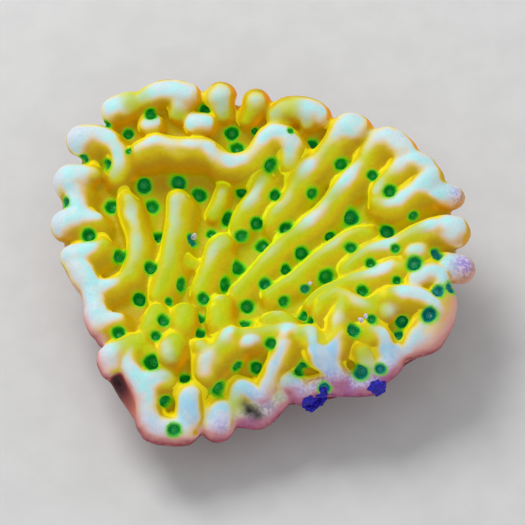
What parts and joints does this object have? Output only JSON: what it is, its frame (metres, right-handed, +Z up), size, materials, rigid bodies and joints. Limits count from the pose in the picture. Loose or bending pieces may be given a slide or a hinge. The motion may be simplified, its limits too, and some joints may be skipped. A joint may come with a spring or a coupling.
{
  "type": "plate coral",
  "caption": "Shallow dished plate of montipora coral with fanning round ridges, a lobed margin and polyp cups in the valleys, cut flat under its stubby foot.",
  "frame": {"origin": "middle of the coral's outer box in plan, on the flat cut under the foot", "axes": "+Z up from the cut, +X along the plate's longest side, +Y towards the higher back margin"},
  "size_m": [0.034, 0.0297, 0.0123],
  "materials": {
    "coral_tissue": "satin, moist living tissue over stony skeleton"
  },
  "bodies": {
    "root": {"montipora_plate": "coral_tissue"}
  },
  "joints": []
}
